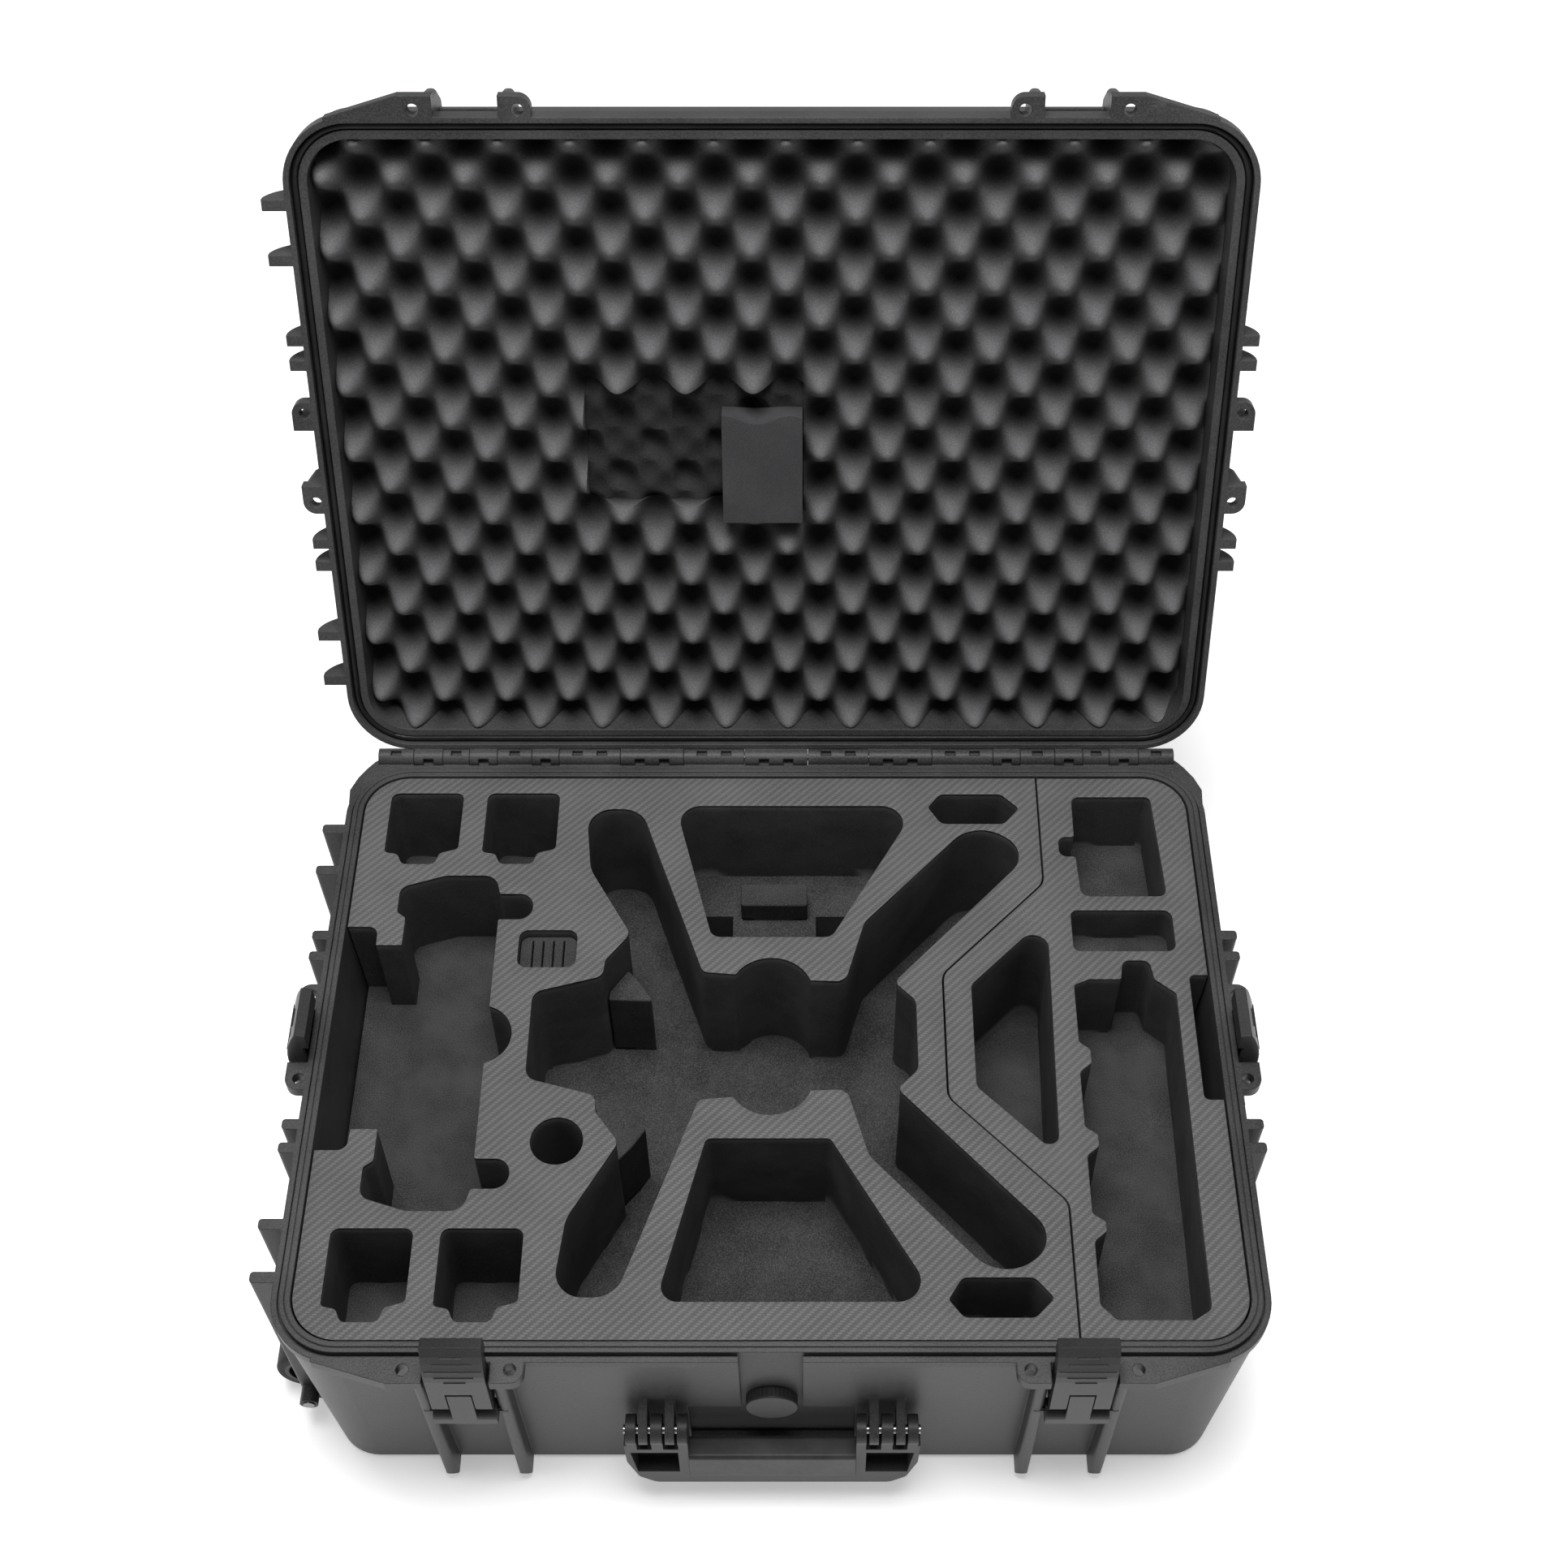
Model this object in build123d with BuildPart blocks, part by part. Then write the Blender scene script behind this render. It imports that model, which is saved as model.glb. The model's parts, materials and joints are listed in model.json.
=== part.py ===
from build123d import *
import os

# Hard carrying case for a drone, lid open. Millimetres, +Z up, +Y towards the hinge.
# The origin is the centre of the flat bottom of the base.

os.makedirs("parts", exist_ok=True)

# ---- overall sizes ----
flange_w = 646.0          # width over the parting flange
flange_d = 483.0          # depth over the parting flange
flange_r = 46.0           # corner radius of the flange
flange_z = 198.0          # height of the base flange face
flange_t = 8.0            # thickness of the base flange
lid_h = 50.0              # height of the lid above its parting face
wall_inset = 1.5          # outer wall starts this far inside the flange edge
draft = 4.0               # draft angle of the outer walls
open_angle = 109.3        # lid opening angle at rest
part_gap = 0.4            # gap left at the parting line when shut

# ---- rim ----
band_w = 4.0              # flat outer band of the flange
rim_out = 5.5             # inset of the raised rim, outer side
rim_in = 13.0             # inset of the raised rim, inner side
rim_h = 3.0               # height of the raised rim
rim_line = 8.8            # inset of the fine line in the rim
lip_in = 9.7              # inset of the lid's inner lip
groove_h = 7.8            # depth of the gasket groove in the lid
cavity_draft = 2.3        # draft angle of the cavity walls
floor_t = 5.0             # thickness of the floor

# ---- hinge ----
hinge_y = flange_d / 2 + 7.5
hinge_z = flange_z + part_gap / 2
knuckle_r = 7.0
hinge_pin_r = 2.5
knuckle_gap = 0.35        # side gap between knuckles
knuckle_edges = [24.2, 70.7, 119.0, 165.8, 186.6, 213.0, 234.4, 254.7, 276.9, 304.0]
run_fit = 0.06            # radial running clearance of shafts

# ---- latches ----
latch_x = 199.0           # front latches, from the middle
latch_half = 21.4         # half gap between the guard ribs
rib_t = 8.5               # guard rib thickness
rib_round = 3.6           # rounding of its outer edges
ear_out = 14.0            # how far the ears stand out of the flange
ear_t = 9.0               # ear thickness
ear_w = 21.5              # ear width
ear_hole_r = 4.0
ear_hole_x = 34.1
lever_w = 39.0
lever_t = 3.0
link_pin_z = -60.0        # latch pin heights, from the flange face
lever_pin_z = -42.0
latch_pin_y = -6.0        # outward of the flange edge
latch_pin_r = 1.75
tab_w = 15.8
link_r = 7.5
lever_r = 7.0

# ---- side ribs and wheels ----
fin_t = 7.8
big_fin = 16.0
small_fin = 11.0
big_fins_y = [-183.0, -145.0, 143.0, 181.0]
small_fins_y = [-88.0, -70.0, 67.0, 85.0]
wheel_r = 26.0
wheel_t = 23.0
wheel_x = -(flange_w / 2 + 4.0)
wheel_z = 30.0
wheel_ys = [-164.0, 162.0]
axle_r = 4.0
boss_r = 6.5
wheel_gap = 1.6

# ---- front handle ----
grip_half = 56.0
handle_half = 99.0
handle_y = -(flange_d / 2 + 7.0)
handle_z = flange_z - 91.0
handle_r = 10.0
handle_pin_r = 3.0
handle_t = 15.0
handle_drop = 74.0
lug_spans = [(64.5, 70.7), (82.2, 88.2)]
lug_gap = 1.9             # side gap between handle and lugs
knuckle_spans = [(56.0, 62.6), (72.6, 80.3), (90.1, 96.9)]

# ---- valve ----
valve_z = flange_z - 74.0
valve_r = 17.2
notch_half = 20.5
valve_seat_r = 12.0
valve_seat_y = -(flange_d / 2 - 9.6)     # flat seat of the valve seal
bush_r = 8.0
stem_r = 6.0
knob_back = valve_seat_y - 1.5
knob_face = knob_back - 7.6
bush_back = valve_seat_y + 6.2

# ---- foam ----
foam_gap = 1.2            # gap between foam and cavity wall
foam_top = flange_z + 2.0
skin_t = 2.0
tray_gap = 1.4            # gap between the two trays
housing_x = wheel_x + 31.0  # inner wall of the wheel housings
housing_half = 18.0       # half length of a wheel housing
housing_top = 62.0

trap_depth = 89.0         # pocket depths, from the flange face
arm_depth = 105.0
well_depth = 125.0
control_depth = 78.0
battery_depth = 80.0
slot_depth = 60.0
card_depth = 18.0
stand_gap = 0.6           # gap round the blocks standing in the pockets


def tapered_block(z, width, depth, radius, height, taper=0.0):
    with BuildPart() as body:
        with BuildSketch(Plane.XY.offset(z)):
            RectangleRounded(width, depth, radius)
        extrude(amount=height, taper=taper)
    return body.part


def inset_block(z, inset, height, taper=0.0):
    width = flange_w - 2 * inset
    depth = flange_d - 2 * inset
    return tapered_block(z, width, depth, flange_r - inset, height, taper)


def plan_block(points, z_low, z_high, radius=0.0):
    # closed outline in plan, all its corners rounded
    with BuildPart() as body:
        with BuildSketch(Plane.XY.offset(z_low)) as plan:
            with BuildLine():
                Polyline(points, close=True)
            make_face()
            if radius > 0:
                fillet(plan.vertices(), radius)
        extrude(amount=z_high - z_low)
    return body.part


def pocket_block(corners, z_low, z_high):
    # closed outline in plan; each corner is (x, y, radius)
    with BuildPart() as body:
        with BuildSketch(Plane.XY.offset(z_low)) as plan:
            with BuildLine():
                Polyline([(x, y) for x, y, r in corners], close=True)
            make_face()
            for x, y, r in corners:
                if r > 0:
                    fillet(plan.vertices().sort_by_distance((x, y))[0], r)
        extrude(amount=z_high - z_low)
    return body.part


def side_block(points, x_low, x_high):
    # outline in the Y-Z plane, carried along X
    with BuildPart() as body:
        with BuildSketch(Plane.YZ.offset(x_low)):
            with BuildLine():
                Polyline(points, close=True)
            make_face()
        extrude(amount=x_high - x_low)
    return body.part


def x_rod(y, z, radius, x_low, x_high):
    with BuildPart() as rod:
        with BuildSketch(Plane.YZ.offset(x_low)):
            with Locations((y, z)):
                Circle(radius)
        extrude(amount=x_high - x_low)
    return rod.part


def y_rod(x, z, radius, y_low, y_high):
    with BuildPart() as rod:
        with BuildSketch(Plane.XZ.offset(-y_low)):
            with Locations((x, z)):
                Circle(radius)
        extrude(amount=y_low - y_high)
    return rod.part


def span(side, low, high):
    # the two ends of a stretch on the right (+1) or left (-1), lower first
    return sorted((side * low, side * high))


def box_between(x1, x2, y1, y2, z1, z2):
    block = Box(x2 - x1, y2 - y1, z2 - z1, mode=Mode.PRIVATE)
    return Pos((x1 + x2) / 2, (y1 + y2) / 2, (z1 + z2) / 2) * block


# The four latch stations: local -Y points out of the case, origin on the flange edge.
front_left = Location((-latch_x, -flange_d / 2, flange_z))
front_right = Location((latch_x, -flange_d / 2, flange_z))
side_left = Location((-flange_w / 2, 0, flange_z), (0, 0, -90))
side_right = Location((flange_w / 2, 0, flange_z), (0, 0, 90))
stations = [front_left, front_right, side_left, side_right]

hinge_line = Axis((0, hinge_y, hinge_z), (1, 0, 0))


def knuckle(side, k):
    # the two ends of a hinge knuckle along X
    low = knuckle_edges[k] + knuckle_gap / 2
    return span(side, low, knuckle_edges[k + 1] - knuckle_gap / 2)


def opened(shape):
    return shape.rotate(hinge_line, -open_angle)


# ---- latch seat on the base: two ears with padlock holes and two guard ribs ----
def ear_plan(side, wing):
    # side is +1 or -1; a wing runs on to the corner of the flange
    inner = latch_half
    if wing:
        points = [(inner, 6), (inner, -ear_out), (inner + 23, -ear_out), (93, 0.5), (93, 6)]
    else:
        points = [(inner, 6), (inner, -ear_out), (inner + ear_w, -ear_out), (inner + ear_w, 6)]
    return [(side * x, y) for x, y in points]


def ear(side, wing, z_low, z_high):
    with BuildPart() as body:
        with BuildSketch(Plane.XY.offset(z_low)) as plan:
            with BuildLine():
                Polyline(ear_plan(side, wing), close=True)
            make_face()
            if not wing:
                outer = [v for v in plan.vertices() if abs(v.X) > latch_half + 1 and v.Y < -1]
                fillet(outer, 9.0)
            with Locations((side * ear_hole_x, -4.8)):
                Circle(ear_hole_r, mode=Mode.SUBTRACT)
        extrude(amount=z_high - z_low)
    return body.part


base_rib = [(6, 0), (-9.5, 0), (-9.5, -16), (-1.5, -184), (3.5, -194), (17, -194)]
lid_rib = [(8, 0), (-12.5, 0), (-12.5, 14), (-10.5, 30), (-4, 41), (8, 46)]


def guard_rib(side, profile):
    low = latch_half if side > 0 else -latch_half - rib_t
    with BuildPart() as body:
        with BuildSketch(Plane.YZ.offset(low)):
            with BuildLine():
                Polyline(profile, close=True)
            make_face()
        extrude(amount=rib_t)
        long_edges = [e for e in body.edges() if e.center().Y < -1 and abs(e.tangent_at(0.5).X) < 0.5]
        fillet([e for e in long_edges if max(v.Y for v in e.vertices()) < 4], rib_round)
    return body.part


with BuildPart() as base_seat:
    for side in (-1, 1):
        add(guard_rib(side, base_rib))
        add(ear(side, False, -ear_t, 0))

with BuildPart() as lid_seat:
    for side in (-1, 1):
        add(guard_rib(side, lid_rib))
        add(ear(side, False, 0, ear_t))


def fin(reach, z_low, z_high, foot):
    # upright side rib, local -Y outward, outer edges rounded
    with BuildPart() as body:
        with BuildSketch(Plane.YZ.offset(-fin_t / 2)):
            with BuildLine():
                heel = -reach + foot
                tip = [(6, z_high), (-reach, z_high), (heel, z_low + 6)]
                Polyline(tip + [(heel + 6, z_low), (15, z_low)], close=True)
            make_face()
        extrude(amount=fin_t)
        upright = [e for e in body.edges() if abs(e.tangent_at(0.5).X) < 0.5]
        fillet([e for e in upright if e.center().Y < heel + 5 and e.length > 20], 2.4)
    return body.part


def lid_fin(reach):
    with BuildPart() as body:
        with BuildSketch(Plane.YZ.offset(-fin_t / 2)):
            with BuildLine():
                top = Line((6, 0), (-reach, 0))
                Line((-reach, 0), (-reach, 5))
                ThreePointArc((-reach, 5), (-reach * 0.62, 16), (0, 23))
                Line((0, 23), (6, 24))
                Line((6, 24), (6, 0))
            make_face()
        extrude(amount=fin_t)
    return body.part


def side_location(side, y, z):
    x = side * flange_w / 2
    return Location((x, y, z), (0, 0, 90 * side))


def wheel_room(y):
    half = wheel_t / 2 + 2.2
    return y_rod(wheel_x, wheel_z, wheel_r + wheel_gap, y + half, y - half)


# ================= base shell =================
with BuildPart() as base_shell:
    add(inset_block(flange_z, wall_inset, -flange_z, draft))
    bottom = base_shell.faces().sort_by(Axis.Z)[0]
    fillet(bottom.edges(), 9.0)
    add(inset_block(flange_z, 0.0, -flange_t))
    add(inset_block(flange_z, rim_out, rim_h))
    # seats and ribs
    for station in stations:
        add(base_seat.part.moved(station))
    for side in (-1, 1):
        wing = ear(side, True, -ear_t, 0)
        add(wing.moved(front_right if side > 0 else front_left))
        for y in small_fins_y:
            add(fin(small_fin, -186, 0, 3).moved(side_location(side, y, flange_z)))
    for y in big_fins_y:
        add(fin(big_fin, -186, 0, 5).moved(side_location(-1, y, flange_z)))
    # inner wheel housings
    for y in wheel_ys:
        low_y, high_y = y - housing_half, y + housing_half
        add(box_between(wheel_x + 15, housing_x, low_y, high_y, floor_t - 2, housing_top))
    # back shoulders beside the outer knuckles
    for side in (-1, 1):
        back, edge = flange_d / 2, flange_w / 2
        end = knuckle_edges[9]
        shoulder = [(end - 26, back - 1.5), (end, hinge_y - 2), (end + 3, hinge_y - 4.5)]
        shoulder += [(edge - 11, back - 3), (edge - 5, back - 12), (edge, back - 24)]
        shoulder += [(edge - 1, back - 40), (end - 26, back - 14)]
        shoulder = [(side * x, y) for x, y in shoulder]
        add(plan_block(shoulder, flange_z - flange_t, flange_z))
    # handle lugs
    wall_y = -(flange_d / 2 - wall_inset - 5.0)
    for side in (-1, 1):
        for low, high in lug_spans:
            a, b = span(side, low, high)
            add(x_rod(handle_y, handle_z, handle_r, a, b))
            web = [(wall_y + 5, handle_z + 22), (handle_y - 4, handle_z + 9.1)]
            web += [(handle_y - 4, handle_z - 9.1), (wall_y + 6, handle_z - 15)]
            add(side_block(web, a, b))
    # wheel wells, axle bosses
    for y in wheel_ys:
        add(wheel_room(y), mode=Mode.SUBTRACT)
        outward = -1 if y < 0 else 1
        ends = span(outward, abs(y) + 15, abs(y) + 35)
        add(y_rod(wheel_x, wheel_z, boss_r, ends[1], ends[0]))
    # cavity
    rim_top = flange_z + rim_h
    add(inset_block(rim_top, rim_in, floor_t - rim_top, cavity_draft), mode=Mode.SUBTRACT)
    for y in wheel_ys:
        low_y, high_y = y - housing_half, y + housing_half
        add(box_between(wheel_x + 16, housing_x, low_y, high_y, floor_t - 2, housing_top))
        add(wheel_room(y), mode=Mode.SUBTRACT)
        add(y_rod(wheel_x, wheel_z, axle_r, y + 40, y - 40), mode=Mode.SUBTRACT)
    # groove outside the rim, fine line in the rim
    groove = inset_block(flange_z, band_w, -3.0) - inset_block(flange_z, rim_out, -3.0)
    add(groove, mode=Mode.SUBTRACT)
    line_top = flange_z + rim_h
    line = inset_block(line_top, rim_line, -1.0) - inset_block(line_top, rim_line + 0.6, -1.0)
    add(line, mode=Mode.SUBTRACT)
    # notch for the valve, finger recess behind the handle
    notch = [(-6, 1), (7.4, 1), (9.2, -90), (-6, -90)]
    notch = [(y - flange_d / 2, z + flange_z) for y, z in notch]
    notch_cut = side_block(notch, -notch_half, notch_half)
    add(notch_cut - inset_block(flange_z, rim_out, 5, 0.0), mode=Mode.SUBTRACT)
    recess = [(-20, -88), (11.6, -88), (16.0, -150), (-20, -150)]
    recess = [(y - flange_d / 2, z + flange_z) for y, z in recess]
    add(side_block(recess, -grip_half, grip_half), mode=Mode.SUBTRACT)
    add(y_rod(0, valve_z, valve_seat_r, valve_seat_y, valve_seat_y - 28), mode=Mode.SUBTRACT)
    add(y_rod(0, valve_z, bush_r, valve_seat_y + 32, valve_seat_y - 8), mode=Mode.SUBTRACT)
    # handle pins and latch pins
    for side in (-1, 1):
        a, b = span(side, 50, 100)
        add(x_rod(handle_y, handle_z, handle_pin_r, a, b), mode=Mode.SUBTRACT)
    for station in stations:
        pin_hole = x_rod(latch_pin_y, link_pin_z, latch_pin_r, -latch_half - 6, latch_half + 6)
        add(pin_hole.moved(station), mode=Mode.SUBTRACT)
    # hinge knuckles
    for side in (-1, 1):
        for k in range(0, 10, 2):
            a, b = knuckle(side, k)
            add(x_rod(hinge_y, hinge_z, knuckle_r, a, b))
            foot = [(hinge_y + 6.5, hinge_z - 3), (hinge_y, hinge_z), (hinge_y - 9, flange_z)]
            foot += [(hinge_y - 9, flange_z - 16), (hinge_y + 1, flange_z - 8)]
            add(side_block(foot, a, b))
            middle = (a + b) / 2
            slots = [-9.3, 9.3] if b - a > 40 else [0.0]
            half = 3.9
            for x in [middle + s for s in slots]:
                low_y, low_z = hinge_y - 3.2, hinge_z + 3.4
                slot = box_between(x - half, x + half, low_y, low_y + 4.6, low_z, low_z + 5)
                add(slot, mode=Mode.SUBTRACT)
            if b - a > 40:
                # lid stop behind the knuckle, and the gusset that carries it
                stop = [(3, -8), (13, -8), (13, 2.95), (9.5, 4.15), (9.5, -2), (3, -4)]
                gusset = [(-9, -26.2), (13, -8), (3, -8), (-9, -8)]
                for profile in (stop, gusset):
                    placed = [(hinge_y + y, hinge_z + z) for y, z in profile]
                    add(side_block(placed, middle - 5, middle + 5))
            add(x_rod(hinge_y, hinge_z, hinge_pin_r, a - 1, b + 1), mode=Mode.SUBTRACT)
base_shell.part.label = "base_shell"

# ================= lid shell, drawn shut and then opened =================
lid_z = flange_z + part_gap
with BuildPart() as lid_shut:
    add(inset_block(lid_z, wall_inset, lid_h, draft))
    crown = lid_shut.faces().sort_by(Axis.Z)[-1]
    fillet(crown.edges(), 13.0)
    add(inset_block(lid_z, 0.0, 14.5))
    for station in stations:
        add(lid_seat.part.moved(Pos(0, 0, part_gap) * station))
    for side in (-1, 1):
        wing = ear(side, True, 0, ear_t)
        corner = front_right if side > 0 else front_left
        add(wing.moved(Pos(0, 0, part_gap) * corner))
        for y in small_fins_y:
            add(lid_fin(small_fin).moved(side_location(side, y, lid_z)))
    for y in big_fins_y:
        add(lid_fin(big_fin).moved(side_location(-1, y, lid_z)))
    # raised panel and two stacking ribs on the crown
    add(tapered_block(lid_z + lid_h - 0.5, flange_w - 126, flange_d - 133, 30, 2.5, 20))
    for x in (-150, 0, 150):
        with BuildSketch(Plane.XY.offset(lid_z + lid_h + 1)):
            with Locations((x, 0)):
                SlotOverall(flange_d - 193, 16, rotation=90)
        extrude(amount=3.0)
    # room for the latch lips above the catch ledge
    for station in stations:
        pocket = box_between(-latch_half, latch_half, -20, 9.0, 14.5 - part_gap, 34)
        add(pocket.moved(Pos(0, 0, part_gap) * station), mode=Mode.SUBTRACT)
    # hollow, rim groove and recessed inner lip
    add(inset_block(lid_z, 15.2, lid_h - 4.5, 3.0), mode=Mode.SUBTRACT)
    add(inset_block(lid_z, lip_in, 3.4), mode=Mode.SUBTRACT)
    seal_groove = inset_block(lid_z, band_w, groove_h) - inset_block(lid_z, lip_in, groove_h)
    add(seal_groove, mode=Mode.SUBTRACT)
    # knuckles: one in the middle and four each side
    middle_half = knuckle_edges[0] - knuckle_gap / 2
    lid_knuckles = [(-middle_half, middle_half)]
    lid_knuckles += [knuckle(side, k) for side in (-1, 1) for k in range(1, 9, 2)]
    foot = [(hinge_y + 6.5, hinge_z + 3), (hinge_y, hinge_z), (hinge_y - 9, lid_z)]
    foot += [(hinge_y - 9, lid_z + 13), (hinge_y + 1, lid_z + 8)]
    for a, b in lid_knuckles:
        add(x_rod(hinge_y, hinge_z, knuckle_r, a, b))
        add(side_block(foot, a, b))
        pin_hole = x_rod(hinge_y, hinge_z, hinge_pin_r + run_fit, a - 1, b + 1)
        add(pin_hole, mode=Mode.SUBTRACT)

with BuildPart() as lid_shell:
    add(opened(lid_shut.part))
    # slots in the front of its knuckles
    for a, b in lid_knuckles:
        offsets = [-9.3, 9.3] if b - a > 40 else [0.0]
        for x in [(a + b) / 2 + offset for offset in offsets]:
            low_y, low_z = hinge_y - 8.0, hinge_z - 0.7
            slot = box_between(x - 3.9, x + 3.9, low_y, low_y + 4.6, low_z, low_z + 5.1)
            add(slot, mode=Mode.SUBTRACT)
lid_shell.part.label = "lid_shell"

# Round gasket lying in the lid groove.
gasket_t = 4.6
gasket_out = (band_w + lip_in - gasket_t) / 2
gasket_low = lid_z + groove_h - gasket_t
with BuildPart() as gasket_shut:
    add(inset_block(gasket_low, gasket_out, gasket_t))
    add(inset_block(gasket_low, gasket_out + gasket_t, gasket_t), mode=Mode.SUBTRACT)
    fillet(gasket_shut.faces().sort_by(Axis.Z)[0].edges(), 2.1)
    fillet(gasket_shut.faces().sort_by(Axis.Z)[-1].edges(), 1.2)
with BuildPart() as lid_gasket:
    add(opened(gasket_shut.part))
lid_gasket.part.label = "lid_gasket"

# ================= hinge pins =================
pin_end = knuckle_edges[9] - 1.0
with BuildPart() as hinge_pins:
    add(x_rod(hinge_y, hinge_z, hinge_pin_r, -pin_end, -1.5))
    add(x_rod(hinge_y, hinge_z, hinge_pin_r, 1.5, pin_end))
hinge_pins.part.label = "hinge_pins"

# ================= latches =================
barrel_half = latch_half - 0.6
with BuildPart() as link_body:
    add(x_rod(latch_pin_y, link_pin_z, link_r, -barrel_half, barrel_half))
    face_y = latch_pin_y - link_r
    tab = [(face_y, link_pin_z), (face_y, lever_pin_z + 20), (face_y + 4.5, lever_pin_z + 20.8)]
    tab += [(latch_pin_y + 3, lever_pin_z + 4), (latch_pin_y + 4, link_pin_z)]
    add(side_block(tab, -tab_w / 2, tab_w / 2))
    apron = [(latch_pin_y, link_pin_z), (face_y, link_pin_z), (face_y, link_pin_z - 6)]
    apron += [(latch_pin_y - 2, link_pin_z - 7.6), (latch_pin_y, link_pin_z - 5)]
    add(side_block(apron, -barrel_half, barrel_half))
    running = x_rod(latch_pin_y, link_pin_z, latch_pin_r + run_fit, -barrel_half - 5, barrel_half + 5)
    add(running, mode=Mode.SUBTRACT)
    pressed = x_rod(latch_pin_y, lever_pin_z, latch_pin_r, -barrel_half - 5, barrel_half + 5)
    add(pressed, mode=Mode.SUBTRACT)

# The lever: a plate curved in at the top, a hooked nose, two cheeks and two knuckles.
plate_y = -13.5
plate_foot = -33.0        # height of the plate's lower end
curve = [(plate_y, 0), (-13.1, 6.5), (-12.0, 13), (-10.0, 19.5), (-7.9, 25.2), (-4.5, 31.5)]
nose = [(3.0, 30.0), (3.0, 15.4), (-0.8, 15.4), (-5.0, 24.0)]
inside = [(-7.0, 19.0), (-9.1, 12.5), (-10.1, 6.3), (plate_y + lever_t, 0)]
fork_half = tab_w / 2 + 0.8
with BuildPart() as lever_body:
    plate = [(plate_y, plate_foot)] + curve + nose + inside + [(plate_y + lever_t, plate_foot)]
    add(side_block(plate, -lever_w / 2, lever_w / 2))
    cheek = [(plate_y, plate_foot)] + curve + [(3.0, 30.0), (3.0, 15.4), (-1.2, 15.4)]
    cheek += [(-0.6, 0), (-0.6, lever_pin_z), (plate_y, lever_pin_z)]
    bridge = [(plate_y, plate_foot), (plate_y + 4, plate_foot), (plate_y + 6, -38)]
    bridge += [(plate_y + 0.5, -41), (plate_y, -40)]
    for side in (-1, 1):
        a, b = span(side, lever_w / 2 - 3.0, lever_w / 2)
        add(side_block(cheek, a, b))
        a, b = span(side, fork_half, lever_w / 2)
        add(x_rod(latch_pin_y, lever_pin_z, lever_r, a, b))
        add(side_block(bridge, a, b))
    add(box_between(-fork_half, fork_half, -16, 4, -60, lever_pin_z + 22.4), mode=Mode.SUBTRACT)
    # five raised lines for the thumb
    lines = [(7, -8.4, 24.2), (12.5, -10.4, 18.4), (18, -12.2, 12.0)]
    lines += [(12.5, -13.2, 5.5), (7, -13.5, -1.0)]
    for half, y, z in lines:
        add(box_between(-half, half, y - 0.5, y + 1.2, z - 0.5, z + 0.5))
    add(x_rod(latch_pin_y, lever_pin_z, latch_pin_r + run_fit, -25, 25), mode=Mode.SUBTRACT)

names = ["front_left", "front_right", "side_left", "side_right"]
link_pin_shapes = []
for name, station in zip(names, stations):
    with BuildPart() as latch_link:
        add(link_body.part.moved(station))
    latch_link.part.label = "latch_link_" + name
    export_step(latch_link.part, "parts/latch_link_" + name + ".step")
    with BuildPart() as latch_lever:
        add(lever_body.part.moved(station))
    latch_lever.part.label = "latch_lever_" + name
    export_step(latch_lever.part, "parts/latch_lever_" + name + ".step")
    with BuildPart() as lever_pin:
        pin_half = lever_w / 2 - 0.5
        rod = x_rod(latch_pin_y, lever_pin_z, latch_pin_r, -pin_half, pin_half)
        add(rod.moved(station))
    lever_pin.part.label = "lever_pin_" + name
    export_step(lever_pin.part, "parts/lever_pin_" + name + ".step")
    pin_half = latch_half + 6
    rod = x_rod(latch_pin_y, link_pin_z, latch_pin_r, -pin_half, pin_half)
    link_pin_shapes.append(rod.moved(station))

with BuildPart() as latch_pins:
    for shape in link_pin_shapes:
        add(shape)
latch_pins.part.label = "latch_pins"

# ================= front handle =================
grip_low = -59.0          # lower edge of the grip, from the pivot
h = handle_half
handle_plan = [(h - 19, -handle_drop), (h - 8, -64), (h - 1, -38), (h, 0)]
handle_plan += [(grip_half, 0), (grip_half, grip_low)]
handle_plan += [(-x, z) for x, z in reversed(handle_plan)]


def handle_room(x_low, x_high, z_low):
    near_y, far_y = handle_y - 20, handle_y + 20
    return box_between(x_low, x_high, near_y, far_y, handle_z + z_low, handle_z + 20)


with BuildPart() as handle_frame:
    with BuildSketch(Plane.XZ.offset(-handle_y - handle_t / 2)) as outline:
        with BuildLine():
            Polyline([(x, z + handle_z) for x, z in handle_plan], close=True)
        make_face()
        low = [v for v in outline.vertices() if v.Y < handle_z - 60 and abs(v.X) > 70]
        fillet(low, 8.0)
    extrude(amount=handle_t)
    # open the fork between the knuckles
    for side in (-1, 1):
        for low, high in lug_spans:
            a, b = span(side, low - lug_gap, high + lug_gap)
            add(handle_room(a, b, -16.5), mode=Mode.SUBTRACT)
        a, b = span(side, knuckle_spans[2][1], handle_half + 6)
        add(handle_room(a, b, -10), mode=Mode.SUBTRACT)
        # open pocket in each end block
        pocket = [(63, -22), (95, -22), (91.5, -55), (63, -55)]
        with BuildSketch(Plane.XZ.offset(-handle_y - 4)):
            with BuildLine():
                Polyline([(side * x, z + handle_z) for x, z in pocket], close=True)
            make_face()
        extrude(amount=handle_t, mode=Mode.SUBTRACT)
        for low, high in knuckle_spans:
            a, b = span(side, low, high)
            add(handle_room(a, b, -4), mode=Mode.SUBTRACT)
            add(x_rod(handle_y, handle_z, handle_r, a, b))
        a, b = span(side, 40, 110)
        add(x_rod(handle_y, handle_z, handle_pin_r + run_fit, a, b), mode=Mode.SUBTRACT)
handle_frame.part.label = "handle_frame"

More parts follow.
